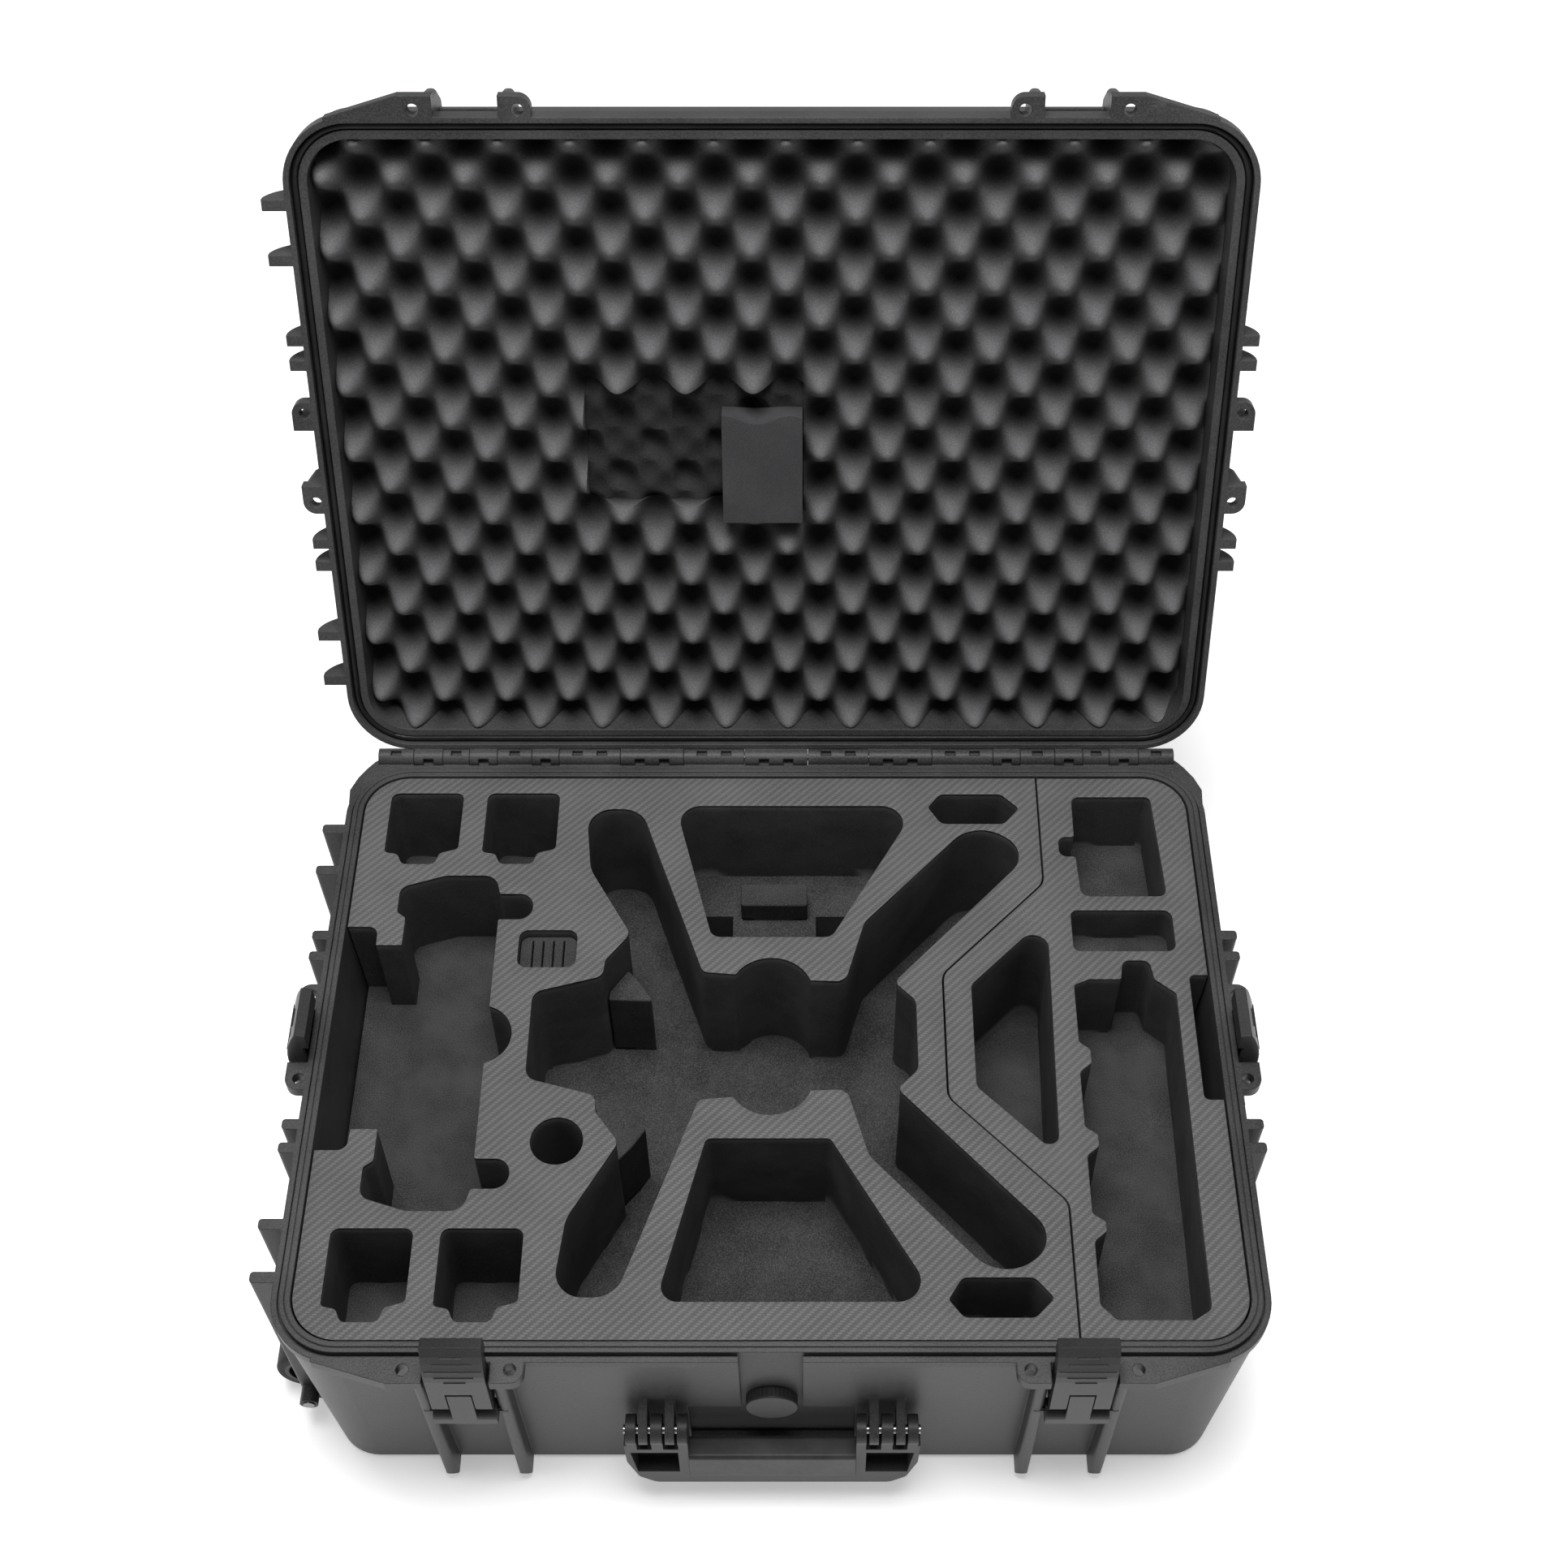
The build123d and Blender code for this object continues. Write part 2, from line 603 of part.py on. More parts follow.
with BuildPart() as handle_grip:
    near_y, far_y = handle_y - 9.5, handle_y + 7
    low_z = handle_z + grip_low
    add(box_between(-grip_half, grip_half, near_y, far_y, low_z, low_z + 32))
    fillet(handle_grip.edges().filter_by(Axis.X), 3.2)
handle_grip.part.label = "handle_grip"

with BuildPart() as handle_pins:
    for side in (-1, 1):
        a, b = span(side, grip_half + 0.4, handle_half - 0.4)
        add(x_rod(handle_y, handle_z, handle_pin_r, a, b))
handle_pins.part.label = "handle_pins"

# ================= valve =================
with BuildPart() as valve_knob:
    add(y_rod(0, valve_z, valve_r, knob_back, knob_face))
    fillet(valve_knob.faces().sort_by(Axis.Y)[0].edges(), 0.8)
    for k in range(36):
        groove = Pos(valve_r, 0, 0) * Box(1.3, 5.4, 1.3, mode=Mode.PRIVATE)
        turned = Location((0, knob_back - 3.2, valve_z)) * Rotation(0, 10.0 * k, 0) * groove
        add(turned, mode=Mode.SUBTRACT)
    add(y_rod(0, valve_z, stem_r, bush_back - 0.8, knob_back))
valve_knob.part.label = "valve_knob"

with BuildPart() as valve_bush:
    add(y_rod(0, valve_z, bush_r, bush_back, valve_seat_y))
    running = y_rod(0, valve_z, stem_r + run_fit, bush_back + 5, valve_seat_y - 5)
    add(running, mode=Mode.SUBTRACT)
valve_bush.part.label = "valve_bush"

with BuildPart() as valve_seal:
    add(y_rod(0, valve_z, valve_seat_r - 0.6, valve_seat_y, knob_back + 0.1))
    add(y_rod(0, valve_z, bush_r + 0.6, bush_back, knob_back - 5), mode=Mode.SUBTRACT)
valve_seal.part.label = "valve_seal"

# ================= wheels =================
for name, y in zip(("front", "back"), wheel_ys):
    with BuildPart() as wheel_hub:
        add(y_rod(wheel_x, wheel_z, wheel_r - 6, y + wheel_t / 2, y - wheel_t / 2))
        for face_y in (y - wheel_t / 2, y + wheel_t / 2):
            a, b = (face_y + 4, face_y - 1) if face_y < y else (face_y + 1, face_y - 4)
            dish = y_rod(wheel_x, wheel_z, wheel_r - 9, a, b) - y_rod(wheel_x, wheel_z, 8, a, b)
            add(dish, mode=Mode.SUBTRACT)
        add(y_rod(wheel_x, wheel_z, axle_r + run_fit, y + wheel_t, y - wheel_t), mode=Mode.SUBTRACT)
    wheel_hub.part.label = "wheel_hub_" + name
    export_step(wheel_hub.part, "parts/wheel_hub_" + name + ".step")
    with BuildPart() as wheel_tyre:
        add(y_rod(wheel_x, wheel_z, wheel_r, y + wheel_t / 2, y - wheel_t / 2))
        fillet(wheel_tyre.edges(), 3.0)
        add(y_rod(wheel_x, wheel_z, wheel_r - 6, y + wheel_t, y - wheel_t), mode=Mode.SUBTRACT)
    wheel_tyre.part.label = "wheel_tyre_" + name
    export_step(wheel_tyre.part, "parts/wheel_tyre_" + name + ".step")

with BuildPart() as wheel_axles:
    for y in wheel_ys:
        outward = -1 if y < 0 else 1
        ends = span(outward, abs(y) - 21, abs(y) + 36)
        add(y_rod(wheel_x, wheel_z, axle_r, ends[1], ends[0]))
wheel_axles.part.label = "wheel_axles"

# ================= foam trays =================
cavity_top = flange_z + rim_h


def tray_outline(z_low, z_high):
    # follows the drafted cavity with an even gap
    full = inset_block(cavity_top, rim_in + foam_gap, -(cavity_top - floor_t), cavity_draft)
    keep = tapered_block(z_low, flange_w, flange_d, 10, z_high - z_low)
    return full & keep


# Outlines in plan; each corner is (x, y, radius). A half outline runs from left to
# right on the hinge side and is mirrored about the X axis.
split_end = flange_d / 2 + 18.5
split_half = [(197.5, split_end, 0), (197, 130, 14), (120, 50, 14)]

arm_half = [(-171, 35, 10), (-122, 48.5, 8), (-121, 62, 6), (-104, 85, 8), (-136, 142, 30)]
arm_half += [(-142, 198, 18), (-101, 198, 20), (-51, 52, 6), (-28, 50, 0), (24, 45, 0)]
arm_half += [(50.8, 44, 9), (65, 95, 18), (150, 188, 28), (190, 157.5, 20)]
arm_half += [(85.5, 43.5, 5), (100.5, 28, 10)]

rear_trap = [(-75.3, 201, 15), (107, 201, 16.5), (41.2, 82, 9), (-45.2, 82, 8)]
front_trap = [(-45, -82, 5), (39, -82, 5), (108, -201, 15), (-74.4, -201, 11)]
slot_plan = [(114.5, 199.5, 3), (124, 212, 7), (170, 212, 7), (183, 198.5, 3)]
slot_plan += [(171, 184, 7), (124, 184, 7)]

control_half = [(-309, 91, 0), (-287, 91, 7), (-286.5, 75, 0.8), (-268, 75, 1), (-268, 99, 3)]
control_half += [(-274.5, 104, 3), (-274.5, 126, 9), (-242, 136.5, 20), (-205, 136.5, 12)]
control_half += [(-201, 120, 2), (-176, 120, 10.5), (-176, 97.5, 10.5), (-200.5, 97.5, 1.5)]

battery_plan = [(-290, 158, 3), (-290, 213, 6), (-235.5, 213, 6), (-235.5, 161, 4)]
battery_plan += [(-249, 157, 4), (-252, 147, 5), (-276, 147, 5), (-280, 156, 4)]
battery_pitch = 72.5
battery_rows = 362.0      # from the rear row to the front row

card_plan = [(-184, 56, 7), (-184, 88, 7), (-142, 88, 7), (-142, 56, 7)]

prop_plan = [(140, 41.5, 8), (197.8, 100.5, 11), (193.6, -96, 7), (140, -41.5, 8)]
charger_plan = [(223, 209.5, 6), (282.5, 209.5, 5), (286.5, 118, 6), (224, 118, 7)]
charger_plan += [(222.5, 154, 2), (210.5, 154, 6), (210.5, 172, 6), (222.5, 172, 2)]
adapter_plan = [(215, 105.5, 5), (288.5, 105.5, 7), (288.5, 70, 6), (215, 70, 5)]
hub_plan = [(213, 41, 3), (224, 46, 4), (247, 46, 2), (249, 62, 6), (268, 62, 6)]
hub_plan += [(270.5, 46, 3), (285, 34, 5), (283.5, -206, 6), (272, -213.5, 5)]
hub_plan += [(222, -213.5, 4), (212, -203, 4), (212, -158, 5), (220.5, -151, 3)]
hub_plan += [(220.5, -144, 3), (212, -138, 4), (212, -95, 5), (220.5, -88, 3)]
hub_plan += [(220.5, -79, 3), (212, -73, 4), (212, -30, 5), (220.5, -23, 3)]
hub_plan += [(220.5, -12, 3), (213, -6, 4)]
edge_plan = [(295.5, 49.5, 4), (330, 49.5, 0), (330, -52, 0), (295.5, -52, 4)]


def both_ways(corners):
    return corners + flipped(reversed(corners))


def flipped(corners):
    return [(x, -y, r) for x, y, r in corners]


def shifted(corners, dx, dy):
    return [(x + dx, y + dy, r) for x, y, r in corners]


def deep(corners, depth):
    return pocket_block(corners, flange_z - depth, flange_z + 20)


def round_pocket(x, y, radius, depth):
    low = (Align.CENTER, Align.CENTER, Align.MIN)
    return Pos(x, y, flange_z - depth) * Cylinder(radius, depth + 20, align=low)


def right_side(grow):
    # everything to the right of the split between the two trays
    corners = shifted(both_ways(split_half), grow, 0)
    far_x = flange_w / 2 + 80
    return pocket_block(corners + [(far_x, -split_end, 0), (far_x, split_end, 0)], 0, flange_z + 60)


tray_cuts = [
    deep(both_ways(arm_half), arm_depth),
    deep(rear_trap, trap_depth),
    deep(front_trap, trap_depth),
    deep(both_ways(control_half), control_depth),
    round_pocket(-207, 0, 24, control_depth),
    deep(slot_plan, slot_depth),
    deep(flipped(slot_plan), slot_depth),
    round_pocket(-2, 34, 30, arm_depth),
    round_pocket(-2, -34, 30, arm_depth),
    round_pocket(-146, -84, 18, 70),
    deep(card_plan, card_depth),
]
for dx in (0, battery_pitch):
    for dy in (0, -battery_rows):
        tray_cuts.append(deep(shifted(battery_plan, dx, dy), battery_depth))

# Two deeper wells in the near corners of the rear pocket.
rear_well = deep(rear_trap, well_depth)
well_cuts = [
    rear_well & box_between(-90, -33.5, 84, 162.5, 0, flange_z),
    rear_well & box_between(30.6, 120, 84, 162.5, 0, flange_z),
]
charge_cuts = [
    deep(prop_plan, 100),
    deep(charger_plan, 60),
    deep(adapter_plan, 34),
    deep(hub_plan, 70),
    deep(edge_plan, 130),
]
housing_cuts = []
for y in wheel_ys:
    low_y, high_y = y - housing_half - 2, y + housing_half + 2
    housing_cuts.append(box_between(wheel_x, housing_x + 1.5, low_y, high_y, 0, housing_top + 2))

skin_low = foam_top - skin_t
with BuildPart() as main_tray:
    add(tray_outline(floor_t, skin_low))
    add(right_side(-tray_gap / 2), mode=Mode.SUBTRACT)
    for cut in tray_cuts + well_cuts + housing_cuts:
        add(cut, mode=Mode.SUBTRACT)
main_tray.part.label = "main_tray"

with BuildPart() as main_tray_skin:
    add(tray_outline(skin_low, foam_top))
    add(right_side(-tray_gap / 2), mode=Mode.SUBTRACT)
    for cut in tray_cuts:
        add(cut, mode=Mode.SUBTRACT)
main_tray_skin.part.label = "main_tray_skin"

with BuildPart() as charging_tray:
    add(tray_outline(floor_t, skin_low) & right_side(tray_gap / 2))
    for cut in charge_cuts:
        add(cut, mode=Mode.SUBTRACT)
charging_tray.part.label = "charging_tray"

with BuildPart() as charging_tray_skin:
    add(tray_outline(skin_low, foam_top) & right_side(tray_gap / 2))
    for cut in charge_cuts:
        add(cut, mode=Mode.SUBTRACT)
charging_tray_skin.part.label = "charging_tray_skin"

# Blocks standing in the pockets.
trap_floor = flange_z - trap_depth
with BuildPart() as rear_pocket_block:
    add(box_between(-27, 24, 159, 179.3, trap_floor, trap_floor + 20.4))
    fillet(rear_pocket_block.edges().filter_by(Axis.Z), 2.5)
rear_pocket_block.part.label = "rear_pocket_block"

arm_floor = flange_z - arm_depth
step_plan = [(-121.2 + stand_gap, 53, 1.5), (-120.5 + stand_gap, 60.5, 1.5)]
step_plan += [(-108.1 + stand_gap, 78.5, 1.5), (-97, 66, 1.5), (-88, 52, 1.5)]
with BuildPart() as rear_arm_step:
    add(pocket_block(step_plan, arm_floor, flange_z - 36))
rear_arm_step.part.label = "rear_arm_step"
with BuildPart() as front_arm_step:
    add(pocket_block(flipped(step_plan), arm_floor, flange_z - 36))
front_arm_step.part.label = "front_arm_step"

# Card holder with four upright slits.
holder_gap = 0.8
holder_plan = []
for x, y, r in card_plan:
    middle_x, middle_y = -163, 72
    inward_x = holder_gap if x < middle_x else -holder_gap
    inward_y = holder_gap if y < middle_y else -holder_gap
    holder_plan.append((x + inward_x, y + inward_y, r - holder_gap))
with BuildPart() as card_holder:
    card_floor = flange_z - card_depth
    add(pocket_block(holder_plan, card_floor, card_floor + 12))
    for x in (-174.5, -167.0, -159.5, -152.0):
        slit = box_between(x - 0.7, x + 0.7, 61, 84, card_floor + 3, flange_z)
        add(slit, mode=Mode.SUBTRACT)
card_holder.part.label = "card_holder"

# ================= lid foam =================
lid_foam_low = lid_z + 3.8
lid_foam_t = lid_h - 4.5 - 3.8
notch_depth = 22.0        # depth of the cut-out in the lid foam
with BuildPart() as lid_foam_shut:
    add(inset_block(lid_foam_low, 16.4, lid_foam_t, 3.0))
    fillet(lid_foam_shut.faces().sort_by(Axis.Z)[-1].edges(), 8.0)
    notch_top = lid_foam_low + notch_depth
    add(box_between(-134, 21, -47, 44, lid_z - 5, notch_top), mode=Mode.SUBTRACT)
    add(box_between(-37.5, 21, 40, 52, lid_z - 5, notch_top), mode=Mode.SUBTRACT)
with BuildPart() as lid_foam:
    add(opened(lid_foam_shut.part))
lid_foam.part.label = "lid_foam"

with BuildPart() as plug_shut:
    add(box_between(-37, 20.5, -32, 51.4, lid_foam_low - 2, lid_foam_low + notch_depth))
with BuildPart() as lid_foam_plug:
    add(opened(plug_shut.part))
lid_foam_plug.part.label = "lid_foam_plug"

pieces = [base_shell, lid_shell, lid_gasket, hinge_pins, latch_pins]
pieces += [handle_frame, handle_grip, handle_pins, valve_knob, valve_bush, valve_seal]
pieces += [wheel_axles, main_tray, main_tray_skin, charging_tray, charging_tray_skin]
pieces += [rear_pocket_block, rear_arm_step, front_arm_step, card_holder]
pieces += [lid_foam, lid_foam_plug]
for piece in pieces:
    export_step(piece.part, "parts/" + piece.part.label + ".step")
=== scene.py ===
import json
import math

import bmesh
import bpy
import numpy as np
from mathutils import Matrix, Vector, noise


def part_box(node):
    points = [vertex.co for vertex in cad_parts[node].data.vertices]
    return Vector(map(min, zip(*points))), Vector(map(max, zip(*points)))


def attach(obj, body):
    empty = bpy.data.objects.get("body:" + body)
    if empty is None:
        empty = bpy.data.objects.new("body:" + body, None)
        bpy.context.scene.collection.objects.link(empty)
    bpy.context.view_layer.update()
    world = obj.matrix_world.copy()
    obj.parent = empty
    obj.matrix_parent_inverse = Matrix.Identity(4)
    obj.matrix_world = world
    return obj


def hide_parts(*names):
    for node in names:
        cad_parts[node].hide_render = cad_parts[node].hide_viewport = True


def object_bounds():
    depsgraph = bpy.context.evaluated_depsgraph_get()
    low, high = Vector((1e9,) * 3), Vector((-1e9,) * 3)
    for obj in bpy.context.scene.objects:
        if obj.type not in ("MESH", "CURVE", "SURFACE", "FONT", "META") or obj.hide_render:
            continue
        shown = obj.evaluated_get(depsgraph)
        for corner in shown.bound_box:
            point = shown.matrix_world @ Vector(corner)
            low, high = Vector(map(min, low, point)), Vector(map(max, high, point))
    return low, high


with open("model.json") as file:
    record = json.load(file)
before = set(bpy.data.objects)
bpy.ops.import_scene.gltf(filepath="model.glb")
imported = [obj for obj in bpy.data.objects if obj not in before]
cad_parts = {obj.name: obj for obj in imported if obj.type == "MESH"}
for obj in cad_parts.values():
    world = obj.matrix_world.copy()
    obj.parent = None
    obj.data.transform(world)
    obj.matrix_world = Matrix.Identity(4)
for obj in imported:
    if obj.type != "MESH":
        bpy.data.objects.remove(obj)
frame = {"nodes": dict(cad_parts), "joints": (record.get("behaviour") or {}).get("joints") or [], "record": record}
cad_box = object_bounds()
nodes = frame["nodes"]
MM = 0.001

# ------------------------------------------------------------------ camera and light
scene = bpy.context.scene
scene.view_settings.view_transform = "Standard"
scene.view_settings.look = "None"

camera_data = bpy.data.cameras.new("camera")
camera_data.sensor_width = 36.0
camera_data.lens = 51.90
camera_data.shift_x = -0.0125
camera_data.clip_end = 50.0
camera = bpy.data.objects.new("camera", camera_data)
camera.location = (0.0210, -0.8339, 1.5522)
camera.rotation_euler = (math.radians(37.98), 0.0, 0.0)
scene.collection.objects.link(camera)
scene.camera = camera


def area_light(name, place, aim, size, power):
    data = bpy.data.lights.new(name, "AREA")
    data.shape = "RECTANGLE"
    data.size, data.size_y = size
    data.energy = power
    lamp = bpy.data.objects.new(name, data)
    lamp.location = place
    direction = Vector(aim) - Vector(place)
    lamp.rotation_euler = direction.to_track_quat("-Z", "Y").to_euler()
    scene.collection.objects.link(lamp)


# name, place, aim, size in metres, power in watts
SOFTBOXES = (
    ("top_softbox", (-0.1, 0.0, 2.6), (0.0, 0.1, 0.2), (1.5, 1.1), 88.0),
    ("left_softbox", (-1.7, -0.5, 1.5), (0.0, 0.1, 0.3), (1.0, 1.4), 6.0),
    ("right_softbox", (1.8, -0.4, 1.4), (0.0, 0.1, 0.3), (1.0, 1.4), 4.0),
    ("front_softbox", (0.0, -2.2, 1.0), (0.0, 0.0, 0.2), (2.4, 0.8), 0.8),
)
WORLD_STRENGTH = 0.20
for softbox in SOFTBOXES:
    area_light(*softbox)

world = bpy.data.worlds.new("studio")
world.use_nodes = True
sky = world.node_tree.nodes["Background"]
sky.inputs["Color"].default_value = (1.0, 1.0, 1.0, 1.0)
sky.inputs["Strength"].default_value = WORLD_STRENGTH
scene.world = world


# ------------------------------------------------------------------ materials
class Shader:
    """A principled material with short helpers for its procedural inputs."""

    def __init__(self, name, color=(0.5, 0.5, 0.5), roughness=0.5, **sockets):
        self.material = bpy.data.materials.new(name)
        self.material.use_nodes = True
        self.tree = self.material.node_tree
        self.bsdf = self.tree.nodes["Principled BSDF"]
        self.bsdf.inputs["Base Color"].default_value = (*color, 1.0)
        self.bsdf.inputs["Roughness"].default_value = roughness
        for socket, value in sockets.items():
            self.bsdf.inputs[socket.replace("_", " ")].default_value = value
        coordinates = self.tree.nodes.new("ShaderNodeTexCoord")
        self.object = coordinates.outputs["Object"]
        self.normal_source = None

    def link(self, source, target):
        self.tree.links.new(source, target)

    def feed(self, socket, value):
        if isinstance(value, (int, float)):
            socket.default_value = value
        else:
            self.link(value, socket)

    def math(self, operation, a, b=0.0, c=0.0, clamp=False):
        node = self.tree.nodes.new("ShaderNodeMath")
        node.operation = operation
        node.use_clamp = clamp
        for socket, value in zip(node.inputs, (a, b, c)):
            self.feed(socket, value)
        return node.outputs[0]

    def noise(self, scale, detail=2.0, rough=0.5, vector=None, distortion=0.0):
        node = self.tree.nodes.new("ShaderNodeTexNoise")
        node.inputs["Scale"].default_value = scale
        node.inputs["Detail"].default_value = detail
        node.inputs["Roughness"].default_value = rough
        node.inputs["Distortion"].default_value = distortion
        self.link(vector or self.object, node.inputs["Vector"])
        return node.outputs["Fac"]

    def voronoi(self, scale):
        node = self.tree.nodes.new("ShaderNodeTexVoronoi")
        node.inputs["Scale"].default_value = scale
        self.link(self.object, node.inputs["Vector"])
        return node.outputs["Distance"]

    def stretched(self, x, y, z):
        node = self.tree.nodes.new("ShaderNodeMapping")
        node.inputs["Scale"].default_value = (x, y, z)
        self.link(self.object, node.inputs["Vector"])
        return node.outputs["Vector"]

    def split(self):
        node = self.tree.nodes.new("ShaderNodeSeparateXYZ")
        self.link(self.object, node.inputs[0])
        return node.outputs

    def spread(self, value, low, high, to_low, to_high):
        """A smooth step of the value from one range to another."""
        node = self.tree.nodes.new("ShaderNodeMapRange")
        node.interpolation_type = "SMOOTHSTEP"
        self.feed(node.inputs["Value"], value)
        limits = {"From Min": low, "From Max": high, "To Min": to_low, "To Max": to_high}
        for socket, number in limits.items():
            node.inputs[socket].default_value = number
        return node.outputs[0]

    def mix(self, factor, a, b):
        node = self.tree.nodes.new("ShaderNodeMix")
        node.data_type = "RGBA"
        self.feed(node.inputs["Factor"], factor)
        colors = [s for s in node.inputs if s.type == "RGBA"]
        for socket, value in zip(colors, (a, b)):
            if isinstance(value, tuple):
                socket.default_value = (*value, 1.0)
            else:
                self.link(value, socket)
        return [s for s in node.outputs if s.type == "RGBA"][0]

    def attribute(self, name):
        node = self.tree.nodes.new("ShaderNodeAttribute")
        node.attribute_name = name
        return node.outputs["Fac"]

    def soft_edges(self, radius):
        """Normals rounded over at the solids' edges."""
        node = self.tree.nodes.new("ShaderNodeBevel")
        node.samples = 4
        node.inputs["Radius"].default_value = radius
        self.normal_source = node.outputs[0]
        return node.outputs[0]

    def bump(self, height, distance, strength=1.0):
        node = self.tree.nodes.new("ShaderNodeBump")
        node.inputs["Strength"].default_value = strength
        node.inputs["Distance"].default_value = distance
        self.link(height, node.inputs["Height"])
        if self.normal_source is not None:
            self.link(self.normal_source, node.inputs["Normal"])
        self.normal_source = node.outputs[0]

    def done(self, color=None, roughness=None):
        if color is not None:
            self.link(color, self.bsdf.inputs["Base Color"])
        if roughness is not None:
            self.link(roughness, self.bsdf.inputs["Roughness"])
        if self.normal_source is not None:
            self.link(self.normal_source, self.bsdf.inputs["Normal"])
        return self.material


SATIN = 0.20          # specular level of plastic and rubber
SCUFF = 0.5           # how far a scuff lightens the plastic


def grey(level, blue):
    return (level, level, blue)


def moulded_plastic(name, dark, light, rough, grain=900.0, depth=0.00022, edge=0.0009):
    """Spark-eroded moulding grain with faint scuffs and soft edges."""
    s = Shader(name)
    s.bsdf.inputs["Specular IOR Level"].default_value = SATIN
    s.soft_edges(edge)
    cells = s.noise(grain, 3.0, 0.6)
    pebbles = s.voronoi(grain * 0.9)
    height = s.math("ADD", cells, s.math("MULTIPLY", pebbles, 0.5))
    s.bump(height, depth, 0.55)
    clouds = s.noise(14.0, 3.0, 0.55)
    scratches = s.noise(60.0, 4.0, 0.7, s.stretched(1.0, 7.0, 2.6), 1.2)
    marks = s.spread(scratches, 0.60, 0.74, 0.0, SCUFF)
    shade = s.math("ADD", s.spread(clouds, 0.3, 0.7, 0.0, 0.55), marks, clamp=True)
    speckle = s.spread(cells, 0.35, 0.68, 0.0, 0.45)
    shade = s.math("ADD", s.math("MULTIPLY", shade, 0.6), speckle, clamp=True)
    color = s.mix(shade, dark, light)
    roughness = s.math("ADD", s.math("MULTIPLY", clouds, 0.16), s.math("MULTIPLY", cells, 0.14))
    return s.done(color, s.math("ADD", roughness, rough - 0.15))


def drawn_steel(name, dark, light):
    s = Shader(name, light, 0.28, Metallic=1.0)
    turned = s.noise(500.0, 3.0, 0.6, s.stretched(1.0, 6.0, 6.0))
    s.bump(turned, 0.00004, 0.4)
    color = s.mix(s.spread(turned, 0.3, 0.7, 0.0, 1.0), dark, light)
    return s.done(color, s.spread(turned, 0.2, 0.8, 0.20, 0.36))


def soft_rubber(name, dark, light, rough, grain=700.0, depth=0.00008):
    s = Shader(name)
    s.bsdf.inputs["Specular IOR Level"].default_value = SATIN
    s.soft_edges(0.0006)
    fine = s.noise(grain, 3.0, 0.6)
    dust = s.noise(30.0, 4.0, 0.65)
    s.bump(fine, depth, 0.5)
    color = s.mix(s.spread(dust, 0.35, 0.7, 0.0, 1.0), dark, light)
    return s.done(color, s.math("ADD", s.math("MULTIPLY", fine, 0.15), rough - 0.07))


def cut_foam(name, dark, light, speckle, streak=0.0):
    """Fine closed-cell foam: open pores on a cut face, faint streaks left by the cutter."""
    pore = 1500.0
    s = Shader(name, roughness=0.96)
    s.bsdf.inputs["Specular IOR Level"].default_value = 0.16
    pores = s.noise(pore, 2.0, 0.75)
    grains = s.noise(pore * 0.45, 3.0, 0.7)
    height = s.math("ADD", pores, s.math("MULTIPLY", grains, 0.7))
    if streak > 0.0:
        lines = s.noise(140.0, 3.0, 0.6, s.stretched(1.0, 1.0, 0.06))
        height = s.math("ADD", height, s.math("MULTIPLY", lines, streak))
    s.bump(height, 0.0003, 0.6)
    dots = s.spread(pores, 0.42, 0.66, 0.0, speckle)
    patch = s.spread(s.noise(25.0, 3.0, 0.6), 0.3, 0.7, 0.0, 0.25)
    color = s.mix(s.math("ADD", dots, patch, clamp=True), dark, light)
    return s.done(color)


def twill_laminate(name, dark, light):
    """Grey film with a two-by-two twill pressed in: fine nubs, floats stepping one cell a row."""
    s = Shader(name, roughness=0.62)
    s.bsdf.inputs["Specular IOR Level"].default_value = 0.32
    cell = 1.62 * MM
    repeat = 4.0 * cell
    nub = 1.08 * MM
    x, y, z = s.split()
    row = s.math("FLOOR", s.math("DIVIDE", y, cell))
    across = s.math("FRACT", s.math("DIVIDE", y, cell))
    shifted = s.math("SUBTRACT", x, s.math("MULTIPLY", row, cell))
    along = s.math("FRACT", s.math("DIVIDE", shifted, repeat))
    start, stop = s.spread(along, 0.0, 0.22, 0.0, 1.0), s.spread(along, 0.42, 0.66, 1.0, 0.0)
    dash = s.math("MULTIPLY", start, stop)
    hump = s.math("SINE", s.math("MULTIPLY", across, math.pi))
    weft = s.math("MULTIPLY", dash, s.math("POWER", hump, 0.5))
    # the film's own grain: nubs in staggered rows, no two quite alike
    stray = s.math("MULTIPLY", s.noise(620.0, 2.0, 0.6), nub)
    wave_x, wave_y = [
        s.math("SINE", s.math("MULTIPLY", s.math("ADD", place, stray), math.tau / nub))
        for place in (x, y)
    ]
    dots = s.math("MULTIPLY", wave_x, wave_y)
    fibre = s.noise(2200.0, 2.0, 0.6)
    height = s.math("ADD", weft, s.math("MULTIPLY", dots, 0.35))
    s.bump(height, 0.00016, 0.7)
    tone = s.math("ADD", s.math("MULTIPLY", weft, 0.30), s.math("MULTIPLY", dots, 0.16))
    tone = s.math("ADD", tone, s.spread(fibre, 0.3, 0.7, 0.14, 0.52))
    tone = s.math("ADD", tone, s.spread(s.noise(18.0, 3.0, 0.6), 0.3, 0.7, -0.05, 0.05), clamp=True)
    color = s.mix(tone, dark, light)
    return s.done(color, s.spread(weft, 0.0, 1.0, 0.74, 0.58))


